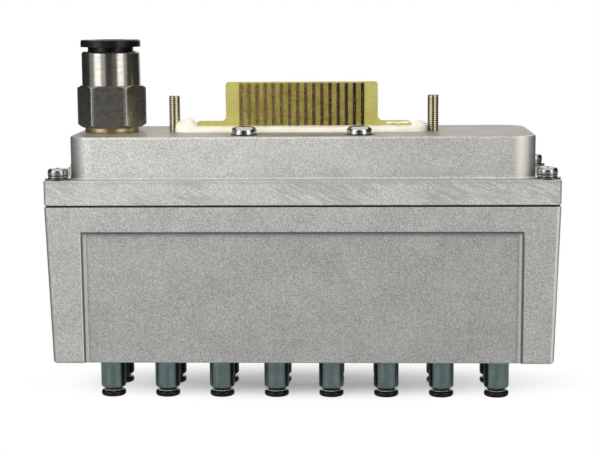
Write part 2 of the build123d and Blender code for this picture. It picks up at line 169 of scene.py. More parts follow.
# Corner screws: their washers, and the dark joints between them
FLAT_WASHER = 0.5 * MM
SPRING_WASHER = 0.8 * MM
BELOW_BLOCK_TOP = 2 * MM  # the corner screws are lower than this, and a little darker
LOWER_SCREWS_DIM = 0.16
JOINT_GRIME = (0.02, 0.018, 0.015)
JOINT_GRIME_SHARE = 0.9

# Outlets: the painted highlight ring between each sleeve and its collar, and the painted shade on their
# sides
HIGHLIGHT_RING_FROM = 1.84 * MM
HIGHLIGHT_RING_TO = 1.98 * MM
HIGHLIGHT_RING_COLOUR = (0.7, 0.7, 0.69)
HIGHLIGHT_RING_METAL = 0.3
SLEEVE_SHADE = (0.01, 0.014, 0.014)
INNER_SIDES = (("X", -0.82, -0.6), ("Y", -0.5, -0.1))
INNER_SHARE = 0.9
OUTER_SHARE = 0.85
HEMMED_OUTLETS = 56.0 * MM  # outlets nearer the middle than this have neighbours on both sides

# Inlet: its sleeve and hexagon, down from its mouth
INLET_SLEEVE = 10.5 * MM
INLET_HEXAGON = 13.1 * MM
# Hexagon: its corners, worn and brightened by a painted highlight over their outer part
HEXAGON_CORNER = 10.65 * MM
HEXAGON_WORN_HIGHLIGHT = 0.35 * MM

# Board: the fingers' shadow through it, and where silicone was smeared on its foot
SHADOW_EDGE = 0.5 * MM
SHADOW_FROM = 2.4 * MM
SHADOW_FULL = 0.6 * MM
SHADOW_TOP = 0.15 * MM
BOARD_FOOT = 3.2 * MM
SMEAR_FROM = 25.5 * MM
SMEAR_TO = 33.5 * MM
SMEAR_END = 1 * MM
SMEAR_LOW = 1.0 * MM
SMEAR_HIGH = 0.45 * MM
SMEAR_EDGE = 0.2 * MM
SMEAR_WANDER = 0.8 * MM

# Studs: a 3.5 mm coarse thread, with a slope that is cut off at the crest and the root
THREAD_CREST = 1.75 * MM
THREAD_ROOT = 1.53 * MM
THREAD_PITCH = 0.6 * MM
THREAD_TIP = 0.35 * MM
THREAD_SLOPE = 3.6
THREAD_GROOVE = 0.12
THREAD_SIDES = 40
THREAD_STEPS = 10
THREAD_SUNK = 0.1 * MM
THREAD_START = 0.001 * MM

# Studs: painted shade at the thread's root, and painted dark reflections on the sides and middle of the
# plating
STUD_ROOT_SHADE_FROM = THREAD_ROOT + 0.03 * MM
STUD_ROOT_SHADE_TO = THREAD_ROOT + 0.13 * MM
STUD_DARK_REFLECTION_SIDES = (0.66, 0.84, 0, 0.8)
STUD_DARK_REFLECTION_MIDDLE = (0.08, 0.26, 0.62, 0)

# Silicone bead
BEAD_ROWS = 40
BEAD_COLUMNS = 260
BEAD_LEFT = -40.4 * MM
BEAD_RIGHT = 39.0 * MM
BEAD_HALF_WIDTH = 6.0 * MM
BEAD_END = 2.4 * MM
BEAD_HEIGHT = 1.75 * MM
BEAD_SUNK = 0.05 * MM
BEAD_NARROWING = 0.35
BEAD_ROUNDING = 0.012

# Silicone bead: its unevenness, as height and size, and where in the noise two of them lie
WANDER = (0.35 * MM, 6 * MM)
RIPPLE = (0.16 * MM, 5 * MM)
WRINKLE = (0.06 * MM, 1.3 * MM)
WANDER_LEVEL = 7
WRINKLE_LEVEL = 3 * MM

# Silicone bead: a heap at each end, and a small peak on the left one
HEAP_HALF_WIDTH = 4.6 * MM
LEFT_HEAP = 1.45 * MM
LEFT_HEAP_FROM = -32.4 * MM
LEFT_HEAP_RISE = 3.0 * MM
PEAK = 1.3 * MM
PEAK_PLACE = (-36.0 * MM, -0.5 * MM)
PEAK_REACH = (3.0 * MM, 2.6 * MM)
RIGHT_HEAP = 1.6 * MM
RIGHT_HEAP_FROM = 33.2 * MM
RIGHT_HEAP_RISE = 2.6 * MM
RIGHT_HEAP_TOP = 35.4 * MM
RIGHT_HEAP_FALL = 4.0 * MM
RIGHT_HEAP_LOSS = 0.5


def shade(colour, level):
    """A colour at a lower level, given as one number or as one for each of its parts."""
    levels = level if isinstance(level, tuple) else (level, level, level)
    return tuple(share * value for share, value in zip(levels, colour))


class Finish:
    """A material under construction: its shader and the node calls that feed it."""

    def __init__(self, name, metallic=0.0, roughness=0.5, **sockets):
        self.material = bpy.data.materials.new(name)
        self.material.use_nodes = True
        self.nodes = self.material.node_tree.nodes
        self.links = self.material.node_tree.links
        self.nodes.clear()
        self.shader = self.nodes.new("ShaderNodeBsdfPrincipled")
        output = self.nodes.new("ShaderNodeOutputMaterial")
        self.links.new(self.shader.outputs["BSDF"], output.inputs["Surface"])
        self.shader.inputs["Metallic"].default_value = metallic
        self.shader.inputs["Roughness"].default_value = roughness
        for socket, value in sockets.items():
            self.shader.inputs[socket.replace("_", " ")].default_value = value
        coordinates = self.nodes.new("ShaderNodeTexCoord")
        self.place = coordinates.outputs["Object"]
        self.facing = coordinates.outputs["Normal"]

    def feed(self, socket, value):
        """Joins an output to an input, or sets a plain value on it."""
        if hasattr(value, "links"):
            self.links.new(value, socket)
        else:
            socket.default_value = value

    def stretched(self, scale, turn=(0, 0, 0)):
        """The object's own coordinates, turned and then scaled along each axis."""
        turned = self.nodes.new("ShaderNodeMapping")
        self.feed(turned.inputs["Vector"], self.place)
        turned.inputs["Rotation"].default_value = [radians(a) for a in turn]
        scaled = self.nodes.new("ShaderNodeMapping")
        self.feed(scaled.inputs["Vector"], turned.outputs["Vector"])
        scaled.inputs["Scale"].default_value = scale
        return scaled.outputs["Vector"]

    def noise(self, size, detail=2.0, roughness=0.5, vector=None):
        """Noise with features of about one size in metres, from 0 to 1."""
        node = self.nodes.new("ShaderNodeTexNoise")
        self.feed(node.inputs["Vector"], vector or self.place)
        node.inputs["Scale"].default_value = 1 / size
        node.inputs["Detail"].default_value = detail
        node.inputs["Roughness"].default_value = roughness
        return node.outputs["Fac"]

    def cells(self, size):
        """Distance to the nearest cell point, and that cell's random colour."""
        node = self.nodes.new("ShaderNodeTexVoronoi")
        self.feed(node.inputs["Vector"], self.place)
        node.inputs["Scale"].default_value = 1 / size
        return node.outputs["Distance"], node.outputs["Color"]

    def part(self, vector, axis):
        """One component of a vector or colour."""
        node = self.nodes.new("ShaderNodeSeparateXYZ")
        self.feed(node.inputs[0], vector)
        return node.outputs[axis]

    def calc(self, kind, a, b=0.0):
        """One arithmetic step on two values."""
        node = self.nodes.new("ShaderNodeMath")
        node.operation = kind
        self.feed(node.inputs[0], a)
        self.feed(node.inputs[1], b)
        return node.outputs[0]

    def plus(self, a, b):
        return self.calc("ADD", a, b)

    def times(self, a, b):
        return self.calc("MULTIPLY", a, b)

    def mean(self, first, share, second):
        """The first value by its share, and the second by the rest."""
        return self.plus(self.times(first, share), self.times(second, 1 - share))

    def span(self, value, low, high, to_low=0.0, to_high=1.0):
        """A value moved smoothly from one range to another, and held at its ends."""
        node = self.nodes.new("ShaderNodeMapRange")
        node.interpolation_type = "SMOOTHSTEP"
        for index, item in enumerate((value, low, high, to_low, to_high)):
            self.feed(node.inputs[index], item)
        return node.outputs[0]

    def band(self, value, rise_from, rise_to, fall_from, fall_to):
        """A smooth rise from 0 to 1 followed by a smooth fall back to 0."""
        return self.times(
            self.span(value, rise_from, rise_to), self.span(value, fall_from, fall_to, 1, 0)
        )

    def from_axis(self, across):
        """The distance from an upright axis, given the distance across it along X."""
        squares = self.plus(
            self.calc("POWER", across, 2), self.calc("POWER", self.part(self.place, "Y"), 2)
        )
        return self.calc("SQRT", squares)

    def outward(self, axis):
        """How far a face looks away from the block's middle along an axis, from -1 to 1."""
        side = self.calc("SIGN", self.part(self.place, axis))
        return self.times(self.part(self.facing, axis), side)

    def blend(self, share, first, second):
        """Two colours mixed by a share."""
        node = self.nodes.new("ShaderNodeMix")
        node.data_type = "RGBA"
        self.feed(node.inputs[0], share)
        for socket, value in ((node.inputs[6], first), (node.inputs[7], second)):
            self.feed(socket, value if hasattr(value, "links") else (*value, 1))
        return node.outputs[2]

    def coat(self, colour, where, share, over):
        """A colour with another over it, at most by a share, where a mask is 1."""
        return self.blend(self.times(where, share), colour, over)

    def bump(self, height, depth, below=None):
        """A bump whose full height is a depth in metres."""
        node = self.nodes.new("ShaderNodeBump")
        node.inputs["Strength"].default_value = 1.0
        node.inputs["Distance"].default_value = depth
        self.feed(node.inputs["Height"], height)
        if below:
            self.feed(node.inputs["Normal"], below)
        return node.outputs["Normal"]

    def colour(self, value):
        self.feed(self.shader.inputs["Base Color"], value)

    def rough(self, value):
        self.feed(self.shader.inputs["Roughness"], value)

    def normal(self, value):
        self.feed(self.shader.inputs["Normal"], value)


def flange_top():
    """The height of the cover's flange."""
    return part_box("top_cover")[0].z + FLANGE_HEIGHT


def tooled_flange(f, colour, normal, light):
    """Slanting tool marks on the flange's sides, and painted shade round its upper edge."""
    top = flange_top()
    height = f.part(f.place, "Z")
    on_flange = f.calc("LESS_THAN", height, top)
    # Painted shade round the flange's upper edge
    rim = f.times(f.span(height, top - FLANGE_EDGE, top - 0.5 * FLANGE_EDGE), on_flange)
    colour = f.coat(colour, rim, RIM_SHADE_SHARE, shade(light, 0.4))
    marks = f.noise(MARK, 2, 0.6, f.stretched(MARK_STRETCH, MARK_SLANT))
    patch = f.span(f.noise(MARK_PATCH, 1), 0.36, 0.56, 0.25, 1)
    marks = f.times(f.span(marks, 0.4, 0.6), f.times(on_flange, patch))
    colour = f.coat(colour, marks, MARK_SHARE, shade(light, 0.5))
    return colour, f.bump(marks, MARK_DEPTH, normal)


def panel_edges(f, colour, dark):
    """Painted shade in the corner of the recessed panel and beside its edges, with painted light on a
    strip and painted shade on a fold beside it at the ends.
    """
    top = f.calc("SUBTRACT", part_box("valve_housing")[1].z - PANEL_BAND, f.part(f.place, "Z"))
    end = f.calc("SUBTRACT", PANEL_HALF, f.calc("ABSOLUTE", f.part(f.place, "X")))
    inward = f.calc("MINIMUM", top, end)
    colour = f.coat(colour, f.span(inward, 0, 0.2 * MM), PANEL_DIM, (0, 0, 0))
    # Painted shade beside the panel's edges, with a cool tint
    colour = f.coat(colour, f.band(inward, *SHADE_BAND), SHADE_SHARE, shade(dark, SHADE_TINT))
    # Painted light on a strip beside each end wall
    strip = f.times(f.band(end, *PAINTED_LIGHT_BAND), f.span(top, 0.5 * MM, 0.9 * MM))
    colour = f.coat(colour, strip, PAINTED_LIGHT_SHARE, PAINTED_LIGHT_COLOUR)
    # Painted shade on a fold beside each end wall
    fold_shade = f.times(f.band(end, *FOLD_SHADE_BAND), f.span(top, 0.9 * MM, 1.5 * MM))
    colour = f.coat(colour, fold_shade, FOLD_SHADE_SHARE, shade(dark, 0.5))
    # Painted shade line in the panel's corner and along its upper lip
    line = f.band(inward, *LINE_BAND)
    lip = f.times(f.band(top, *LIP_BAND), f.span(end, -0.1 * MM, 0.1 * MM))
    groove_shade = f.calc("MAXIMUM", f.times(line, LINE_SHARE), f.times(lip, LIP_SHARE))
    return f.blend(groove_shade, colour, shade(dark, GROOVE_SHADE_TINT))


def painted_corner_light_and_shade(f, colour, dark):
    """A painted highlight on the right-hand corners, and painted shade on all upright ones."""
    rightward = f.part(f.facing, "X")
    # Colour of the painted shade on the corners
    painted_shade_and_grime = shade(dark, 0.1)
    # Painted highlight on the right-hand corners
    colour = f.coat(colour, f.band(rightward, *CORNER_HIGHLIGHT_BAND), CORNER_HIGHLIGHT_SHARE, CORNER_HIGHLIGHT_COLOUR)
    # Painted shade on the right-hand and the left-hand corners
    colour = f.coat(colour, f.band(rightward, *RIGHT_CORNER_SHADE_BAND), RIGHT_CORNER_SHADE_SHARE, painted_shade_and_grime)
    return f.coat(colour, f.band(rightward, *LEFT_CORNER_SHADE_BAND), LEFT_CORNER_SHADE_SHARE, painted_shade_and_grime)


def blasted_casting(name, dark, light, brushed_top, flanged):
    """Sand-blasted die-cast aluminium: mottled, speckled, with a few pits and smudges."""
    f = Finish(name, metallic=0.5)
    grain = f.noise(GRAIN, 2, 0.6)
    dimple, dot = f.cells(DIMPLE)
    mottle = f.noise(MOTTLE, 3, 0.55)
    speckle = f.mean(grain, 0.4, f.part(dot, "X"))
    tone = f.plus(f.span(speckle, 0.2, 0.8, 0.04, 0.84), f.span(mottle, 0.3, 0.7, 0, 0.12))
    colour = f.blend(tone, dark, light)

    smudge = f.span(f.noise(SMUDGE, 4, 0.7), 0.66, 0.78, 0, SMUDGE_SHARE)
    colour = f.blend(smudge, colour, shade(dark, 0.6))
    distance, tint = f.cells(PIT_SPACING)
    chosen = f.calc("GREATER_THAN", f.part(tint, "X"), 0.55)
    pit = f.times(f.span(distance, 0.016, 0.03, 1, 0), chosen)
    colour = f.coat(colour, pit, PIT_SHARE, shade(dark, 0.25))

    upward = f.span(f.part(f.facing, "Z"), 0.75, 0.98)
    strokes = f.noise(BRUSH_STROKE, 3, 0.6, f.stretched((0.06, 1, 1)))
    brushed = f.blend(strokes, shade(brushed_top, 0.82), brushed_top)
    colour = f.blend(upward, colour, brushed)
    if flanged:
        raised = f.calc("GREATER_THAN", f.part(f.place, "Z"), flange_top() + BLOCK_FOOT)
        # Painted shade on the raised block, darker towards its right end
        painted_right_shade = f.span(f.part(f.place, "X"), RIGHT_SHADE_FROM, RIGHT_SHADE_TO, 0, RIGHT_SHADE_SHARE)
        colour = f.coat(colour, painted_right_shade, raised, shade(dark, 0.1))
    # Painted highlight and painted shade on the upright corners
    colour = painted_corner_light_and_shade(f, colour, dark)

    relief = f.calc("SUBTRACT", f.mean(grain, 0.6, dimple), f.times(pit, PIT_RELIEF))
    normal = f.bump(relief, SKIN_DEPTH)
    if flanged:
        colour, normal = tooled_flange(f, colour, normal, light)
    else:
        colour = panel_edges(f, colour, dark)
    f.colour(colour)
    f.rough(f.span(mottle, 0.3, 0.7, 0.38, 0.46))
    f.normal(normal)
    return f.material


def machined(name, dark, light, roughness, turned=True):
    """Turned or milled plated metal, with fine tool lines round it and faint stains."""
    f = Finish(name, metallic=1.0)
    lines = f.noise(0.35 * MM, 2, 0.6, f.stretched((0.05, 0.05, 1) if turned else (1, 0.3, 0.08)))
    stain = f.noise(3 * MM, 3, 0.65)
    colour = f.blend(f.span(f.mean(lines, 0.5, stain), 0.35, 0.65), dark, light)
    colour = f.blend(f.span(stain, 0.6, 0.75, 0, 0.25), colour, shade(dark, 0.4))
    f.colour(colour)
    f.rough(f.span(stain, 0.3, 0.7, roughness * 0.85, roughness * 1.25))
    f.normal(f.bump(lines, 0.005 * MM))
    return f.material


def stud_steel():
    """Yellow-plated studs, with painted shade at the root of the thread and painted dark reflections on
    their sides and middle.
    """
    f = Finish("stud_steel", metallic=1.0)
    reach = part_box("threaded_studs")[1].x - THREAD_CREST
    across = f.calc("SUBTRACT", f.calc("ABSOLUTE", f.part(f.place, "X")), reach)
    radius = f.from_axis(across)
    stain = f.noise(0.8 * MM, 3, 0.65)
    plate = f.blend(f.span(stain, 0.35, 0.7), (0.88, 0.81, 0.6), (0.99, 0.93, 0.72))
    aside = f.calc("ABSOLUTE", f.calc("DIVIDE", across, radius))
    # Painted dark reflections on the sides and in the middle
    plate = f.blend(f.span(aside, *STUD_DARK_REFLECTION_SIDES), plate, (0.07, 0.06, 0.04))
    plate = f.blend(f.span(aside, *STUD_DARK_REFLECTION_MIDDLE), plate, (0.2, 0.17, 0.06))
    # Painted shade at the root of the thread
    painted_shade_and_grime = f.span(radius, STUD_ROOT_SHADE_FROM, STUD_ROOT_SHADE_TO, 0.5, 0)
    f.colour(f.blend(painted_shade_and_grime, plate, (0.06, 0.05, 0.03)))
    f.rough(f.span(stain, 0.3, 0.7, 0.04, 0.1))
    f.normal(f.bump(stain, 0.004 * MM))
    return f.material


def inlet_metal():
    """The inlet's body: bright turned nickel on the sleeve, dark gunmetal on the hexagon with worn
    corners under a painted highlight, brass below.
    """
    f = Finish("inlet_metal", metallic=1.0)
    low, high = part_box("inlet_body")
    sleeve_from = high.z - INLET_SLEEVE
    hexagon_from = sleeve_from - INLET_HEXAGON
    height = f.part(f.place, "Z")
    lines = f.noise(0.3 * MM, 2, 0.6, f.stretched((0.04, 0.04, 1)))
    stain = f.noise(1.6 * MM, 4, 0.7)
    nickel = f.blend(f.span(lines, 0.35, 0.65), (0.6, 0.575, 0.52), (0.68, 0.655, 0.59))
    gun = f.blend(f.span(stain, 0.3, 0.7), (0.42, 0.4, 0.36), (0.5, 0.48, 0.425))
    radius = f.from_axis(f.calc("SUBTRACT", f.part(f.place, "X"), (low.x + high.x) / 2))
    # Worn corners of the hexagon, brightened further by a painted highlight
    worn_highlight = f.span(radius, HEXAGON_CORNER - HEXAGON_WORN_HIGHLIGHT, HEXAGON_CORNER, 0, 0.9)
    gun = f.blend(worn_highlight, gun, (0.95, 0.92, 0.84))
    on_sleeve = f.span(height, sleeve_from - 0.1 * MM, sleeve_from + 0.1 * MM)
    colour = f.blend(on_sleeve, gun, nickel)
    over_foot = f.span(height, hexagon_from, hexagon_from + 0.3 * MM)
    f.colour(f.blend(over_foot, (0.74, 0.6, 0.34), colour))
    f.rough(f.plus(f.span(stain, 0.3, 0.7, 0.16, 0.22), f.span(on_sleeve, 0, 1, 0.1, 0)))
    f.normal(f.bump(lines, 0.003 * MM))
    return f.material


def sleeve_steel():
    """Outlet sleeves: grey-green plating, streaked along them, with painted shade where others face them.
    """
    f = Finish("sleeve_steel", metallic=1.0)
    streaks = f.noise(1.1 * MM, 3, 0.6, f.stretched((1, 1, 0.1)))
    cloud = f.noise(2.5 * MM, 3, 0.6)
    tone = f.mean(streaks, 0.6, cloud)
    colour = f.blend(f.span(tone, 0.35, 0.66), (0.26, 0.37, 0.355), (0.36, 0.48, 0.465))
    speck = f.span(f.noise(0.45 * MM, 1), 0.74, 0.8, 0, 0.6)
    colour = f.blend(speck, colour, (0.42, 0.48, 0.47))
    # Painted shade on the sides that face a neighbouring outlet
    for axis, full, none in INNER_SIDES:
        inner = f.span(f.outward(axis), full, none, INNER_SHARE, 0)
        colour = f.blend(inner, colour, SLEEVE_SHADE)
    # Painted shade on the outer sides of the outlets that have neighbours on both sides
    hemmed = f.calc("LESS_THAN", f.calc("ABSOLUTE", f.part(f.place, "X")), HEMMED_OUTLETS)
    outer = f.span(f.outward("X"), 0.82, 0.93, 0, OUTER_SHARE)
    colour = f.coat(colour, outer, hemmed, SLEEVE_SHADE)
    f.colour(colour)
    f.rough(f.span(cloud, 0.3, 0.7, 0.24, 0.34))
    f.normal(f.bump(tone, 0.01 * MM))
    return f.material


def dusted(f, colour):
    """A colour with a few specks of dust on it."""
    dust = f.span(f.noise(0.5 * MM, 1), 0.72, 0.8, 0, 0.15)
    return f.blend(dust, colour, (0.4, 0.38, 0.35))


def moulding(name, dark, light, roughness):
    """A moulded plastic or rubber piece, with a fine grain and slight cloudiness."""
    f = Finish(name)
    cloud = f.noise(3 * MM, 3, 0.6)
    f.colour(dusted(f, f.blend(f.span(cloud, 0.3, 0.7), dark, light)))
    f.rough(f.span(cloud, 0.3, 0.7, roughness * 0.85, min(1, roughness * 1.2)))
    f.normal(f.bump(f.noise(0.25 * MM, 2, 0.6), 0.02 * MM))
    return f.material


def black_plastic():
    """Glossy black release rings; the outlets' have a painted highlight ring behind the rim, partly
    metallic.
    """
    f = Finish("black_plastic", Specular_IOR_Level=0.35)
    cloud = f.noise(3 * MM, 3, 0.6)
    colour = f.blend(f.span(cloud, 0.3, 0.7), (0.005, 0.0045, 0.004), (0.010, 0.009, 0.008))
    height = f.part(f.place, "Z")
    # Painted highlight ring on the collar, just under the sleeve
    over = f.calc("GREATER_THAN", height, HIGHLIGHT_RING_FROM)
    painted_highlight_ring = f.times(over, f.calc("LESS_THAN", height, HIGHLIGHT_RING_TO))
    f.colour(f.blend(painted_highlight_ring, dusted(f, colour), HIGHLIGHT_RING_COLOUR))
    f.feed(f.shader.inputs["Metallic"], f.times(painted_highlight_ring, HIGHLIGHT_RING_METAL))
    f.rough(f.span(cloud, 0.3, 0.7, 0.2, 0.29))
    f.normal(f.bump(f.noise(0.25 * MM, 2, 0.6), 0.02 * MM))
    return f.material


def laminate():
    """Olive-yellow glass-epoxy board, darker where the fingers on its back block the light."""
    f = Finish("laminate", roughness=0.38)
    low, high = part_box("contact_fingers")
    weave_x = f.noise(0.5 * MM, 1, 0.5, f.stretched((1, 1, 0.25)))
    weave_z = f.noise(0.5 * MM, 1, 0.5, f.stretched((0.25, 1, 1)))
    weave = f.mean(weave_x, 0.5, weave_z)
    cloud = f.noise(5 * MM, 3, 0.6)
    plain = f.blend(f.span(cloud, 0.3, 0.7), (0.41, 0.365, 0.08), (0.465, 0.42, 0.115))
    backed = f.blend(f.span(cloud, 0.3, 0.7), (0.19, 0.14, 0.017), (0.26, 0.2, 0.03))
    across = f.part(f.place, "X")
    height = f.part(f.place, "Z")
    sideways = f.band(
        across, low.x - SHADOW_EDGE, low.x + SHADOW_EDGE, high.x - SHADOW_EDGE, high.x + SHADOW_EDGE
    )
    upright = f.band(
        height, low.z - SHADOW_FROM, low.z - SHADOW_FULL, high.z - SHADOW_TOP, high.z + SHADOW_TOP
    )
    colour = f.blend(f.times(sideways, upright), plain, backed)
    scratches = f.noise(0.3 * MM, 2, 0.5, f.stretched((1, 1, 0.03), (0, 24, 0)))
    colour = f.blend(f.span(scratches, 0.72, 0.8, 0, 0.3), colour, (0.7, 0.68, 0.42))
    colour = f.blend(f.span(weave, 0.4, 0.62, 0, 0.12), colour, (0.75, 0.72, 0.4))

    foot_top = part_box("top_cover")[1].z + BOARD_FOOT
    smear_low = foot_top - SMEAR_LOW
    smear_high = foot_top - SMEAR_HIGH
    ragged = f.times(f.calc("SUBTRACT", f.noise(1.5 * MM, 2), 0.5), SMEAR_WANDER)
    level = f.plus(height, ragged)
    along = f.band(across, SMEAR_FROM, SMEAR_FROM + SMEAR_END, SMEAR_TO - SMEAR_END, SMEAR_TO)
    up = f.band(level, smear_low, smear_low + SMEAR_EDGE, smear_high, smear_high + SMEAR_EDGE)
    f.colour(f.blend(f.times(along, up), colour, (0.85, 0.82, 0.68)))
    f.normal(f.bump(weave, 0.012 * MM))
    return f.material


def worn_fingers():
    """Contact fingers with a worn gold flash: brown at the left, almost black at the right."""
    f = Finish("worn_fingers", metallic=0.6)
    low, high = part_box("contact_fingers")
    across = f.part(f.place, "X")
    patina = f.noise(0.7 * MM, 4, 0.7)
    rub = f.noise(0.28 * MM, 3, 0.6, f.stretched((1, 1, 0.06)))
    brown = f.blend(f.span(patina, 0.35, 0.65), (0.17, 0.12, 0.035), (0.33, 0.25, 0.10))
    black = f.blend(f.span(patina, 0.4, 0.7), (0.022, 0.015, 0.01), (0.13, 0.09, 0.05))
    colour = f.blend(f.span(across, low.x, high.x), brown, black)
    f.colour(f.blend(f.span(rub, 0.64, 0.76, 0, 0.5), colour, (0.55, 0.46, 0.28)))
    f.rough(f.span(patina, 0.3, 0.7, 0.3, 0.55))
    f.normal(f.bump(patina, 0.02 * MM))
    return f.material


def silicone():
    """Cream silicone, soft to light, with faint ripples."""
    f = Finish("silicone", roughness=0.36, Subsurface_Weight=0.25, Subsurface_Scale=0.0012)
    f.shader.inputs["Subsurface Radius"].default_value = (1.0, 0.8, 0.5)
    cloud = f.noise(4 * MM, 3, 0.6)
    f.colour(f.blend(f.span(cloud, 0.3, 0.7), (0.80, 0.76, 0.64), (0.87, 0.84, 0.74)))
    f.normal(f.bump(f.noise(1.4 * MM, 3, 0.55), 0.10 * MM))
    return f.material


def bright_plate(name, tone):
    """Bright plated fasteners, with fine scratches, dark joints between the washers, and painted shade
    round the foot of the domes.
    """
    f = Finish(name, metallic=1.0)
    cloud = f.noise(0.9 * MM, 3, 0.6)
    scratches = f.noise(0.2 * MM, 2, 0.5, f.stretched((0.1, 1, 1), (0, 0, 35)))
    colour = f.blend(f.span(cloud, 0.35, 0.7), shade(tone, 0.86), tone)
    height = f.part(f.place, "Z")
    block_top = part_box("top_cover")[1].z
    lower = f.calc("LESS_THAN", height, block_top - BELOW_BLOCK_TOP)
    colour = f.coat(colour, lower, LOWER_SCREWS_DIM, (0, 0, 0))
    # Painted shade round the foot of the dome screws
    under_dome_shade = f.span(height, block_top + 0.25 * MM, block_top + 0.45 * MM, 1, 0)
    painted_shade_and_grime = f.times(f.calc("GREATER_THAN", height, block_top), under_dome_shade)
    # Dark joints between the corner screws' washers
    upright = f.span(f.part(f.facing, "Z"), 0.3, 0.6, 1, 0)
    flat_top = flange_top() + FLAT_WASHER
    for joint in (flange_top(), flat_top, flat_top + SPRING_WASHER):
        near = f.calc("ABSOLUTE", f.calc("SUBTRACT", height, joint))
        dark = f.times(f.span(near, 0.1 * MM, 0.25 * MM, 1, 0), upright)
        painted_shade_and_grime = f.calc("MAXIMUM", painted_shade_and_grime, dark)
    f.colour(f.coat(colour, painted_shade_and_grime, JOINT_GRIME_SHARE, JOINT_GRIME))
    f.rough(f.span(cloud, 0.3, 0.7, 0.07, 0.16))
    f.normal(f.bump(scratches, 0.004 * MM))
    return f.material


def all_finishes():
    """Every material of the part, by the record's slot names."""
    return {
        "cast_housing": blasted_casting(
            "cast_housing", dark=(0.34, 0.34, 0.325), light=(0.705, 0.705, 0.68),
            brushed_top=(0.42, 0.395, 0.35), flanged=False,
        ),
        "cast_cover": blasted_casting(
            "cast_cover", dark=(0.465, 0.46, 0.438), light=(0.88, 0.865, 0.828),
            brushed_top=(0.43, 0.40, 0.335), flanged=True,
        ),
        "gasket_rubber": moulding("gasket_rubber", (0.008, 0.008, 0.008), (0.02, 0.02, 0.02), 0.7),
        "zinc_screws": bright_plate("zinc_screws", (0.78, 0.78, 0.79)),
        "plated_brass": machined("plated_brass", (0.55, 0.52, 0.42), (0.7, 0.66, 0.55), 0.3),
        "stud_steel": stud_steel(),
        "nickel_brass": inlet_metal(),
        "brass_ring": machined("brass_ring", (0.56, 0.44, 0.22), (0.8, 0.66, 0.4), 0.3),
        "seal_rubber": moulding("seal_rubber", (0.012, 0.012, 0.012), (0.03, 0.03, 0.03), 0.6),
        "stainless": machined("stainless", (0.5, 0.5, 0.48), (0.65, 0.65, 0.62), 0.3),
        "black_plastic": black_plastic(),
        "board_laminate": laminate(),
        "contact_copper": worn_fingers(),
        "silicone": silicone(),
        "valve_plastic": moulding("valve_plastic", (0.02, 0.02, 0.02), (0.05, 0.05, 0.05), 0.5),
        "coil_plastic": moulding("coil_plastic", (0.02, 0.04, 0.12), (0.04, 0.07, 0.18), 0.4),
        "yoke_steel": machined("yoke_steel", (0.5, 0.49, 0.45), (0.64, 0.63, 0.6), 0.35, turned=False),
        "sleeve_steel": sleeve_steel(),
    }


def dress_frame(finishes):
    """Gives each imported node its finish."""
    for sub in frame["record"]["subparts"]:
        piece = frame["nodes"][sub["node"]]
        if not piece.material_slots:
            piece.data.materials.append(None)
        for slot in piece.material_slots:
            slot.material = finishes[sub["material_slot"]]


def new_piece(name, mesh_builder, finish, body="block"):
    """A piece of the part made from a bmesh builder, riding on a body."""
    shape = bmesh.new()
    mesh_builder(shape)
    bmesh.ops.recalc_face_normals(shape, faces=shape.faces)
    mesh = bpy.data.meshes.new(name)
    shape.to_mesh(mesh)
    shape.free()
    mesh.materials.append(finish)
    piece = bpy.data.objects.new(name, mesh)
    bpy.context.scene.collection.objects.link(piece)
    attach(piece, body)
    return piece


def thread_radius(turn, height, top, plain_below):
    """The radius of a threaded rod's skin at one angle and height."""
    if height < plain_below:
        return THREAD_ROOT
    wave = (height / THREAD_PITCH - turn) % 1.0
    flank = min(1.0, max(0.0, THREAD_SLOPE * abs(wave - 0.5) - THREAD_GROOVE))
    radius = THREAD_CREST - (THREAD_CREST - THREAD_ROOT) * (1 - flank)
    return min(radius, THREAD_CREST - THREAD_TIP + (top - height))


def threaded_rod(shape, centre, low, plain_below, top):
    """A rod with a real helical thread above one height, closed at both ends."""
    heights = [low, plain_below - THREAD_START]
    count = int((top - plain_below) / (THREAD_PITCH / THREAD_STEPS))
    heights += [plain_below + (top - plain_below) * i / count for i in range(count + 1)]
    rings = []
    for z in heights:
        ring = []
        for side in range(THREAD_SIDES):
            turn = side / THREAD_SIDES
            r = thread_radius(turn, z, top, plain_below)
            ring.append(shape.verts.new((
                centre.x + r * cos(2 * pi * turn), centre.y + r * sin(2 * pi * turn), z
            )))
        rings.append(ring)
    for below, above in zip(rings, rings[1:]):
        for side in range(THREAD_SIDES):
            after = (side + 1) % THREAD_SIDES
            shape.faces.new((below[side], below[after], above[after], above[side]))
    shape.faces.new(rings[0])
    shape.faces.new(rings[-1])


def studs(finish):
    """The two studs beside the board, with their threads cut."""
    low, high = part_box("threaded_studs")
    plain_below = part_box("top_cover")[1].z - THREAD_SUNK
    reach = high.x - THREAD_CREST

    def build(shape):
        for side in (-1, 1):
            threaded_rod(shape, Vector((side * reach, 0, 0)), low.z, plain_below, high.z)

    piece = new_piece("studs", build, finish)
    for face in piece.data.polygons:
        face.use_smooth = len(face.vertices) == 4
    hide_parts("threaded_studs")


def smooth(t):
    """An even rise from 0 to 1."""
    t = min(1.0, max(0.0, t))
    return t * t * (3 - 2 * t)


def uneven(kind, place):
    """A wandering height at a place, for a kind given as its height and size."""
    height, size = kind
    return height * noise.noise(Vector(place) / size)


